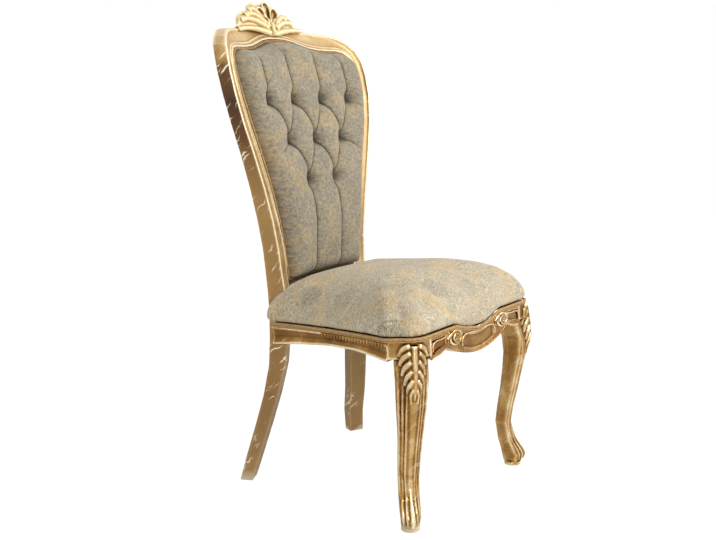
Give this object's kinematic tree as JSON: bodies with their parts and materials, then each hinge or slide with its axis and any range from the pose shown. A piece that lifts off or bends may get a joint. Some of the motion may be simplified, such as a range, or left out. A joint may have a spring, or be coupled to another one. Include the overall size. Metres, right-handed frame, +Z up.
{
  "type": "upholstered side chair",
  "caption": "Armless dining side chair with a carved gilt frame, cabriole front legs, a crowned damask seat and a tall hollow tufted back under a shell crest.",
  "frame": {"origin": "on the floor under the middle of the chair", "axes": "+Z up, -Y the way the sitter faces, +X to the sitter's left"},
  "size_m": [0.5292, 0.6274, 1.0977],
  "materials": {
    "gilt_frame": "aged gold leaf over carved beech, satin",
    "gilt_carving": "pale gold leaf on carving, satin",
    "bare_wood": "plain sawn hardwood, matt",
    "damask": "woven floral damask, soft sheen",
    "braid": "woven double gimp braid",
    "back_board": "thin moulded board, matt",
    "webbing": "jute webbing",
    "cambric": "thin black lining cloth"
  },
  "bodies": {
    "root": {"rear_post_left": "gilt_frame", "rear_post_right": "gilt_frame", "top_rail": "gilt_frame", "crest_shell": "gilt_carving", "crest_leaf_left": "gilt_carving", "crest_leaf_right": "gilt_carving", "back_lower_rail": "bare_wood", "rear_seat_rail": "gilt_frame", "side_seat_rail_left": "gilt_frame", "side_seat_rail_right": "gilt_frame", "front_seat_rail": "gilt_frame", "front_leg_left": "gilt_frame", "front_leg_right": "gilt_frame", "knee_leaf_left": "gilt_carving", "knee_leaf_right": "gilt_carving", "rail_medallion_left": "gilt_carving", "rail_medallion_right": "gilt_carving", "corner_blocks": "bare_wood", "seat_webbing": "webbing", "seat_cushion": "damask", "seat_gimp": "braid", "dust_cover": "cambric", "back_board": "back_board", "back_pad": "damask", "back_gimp": "braid", "tuft_buttons": "damask", "outside_back_cover": "damask", "outside_back_gimp": "braid"}
  },
  "joints": []
}
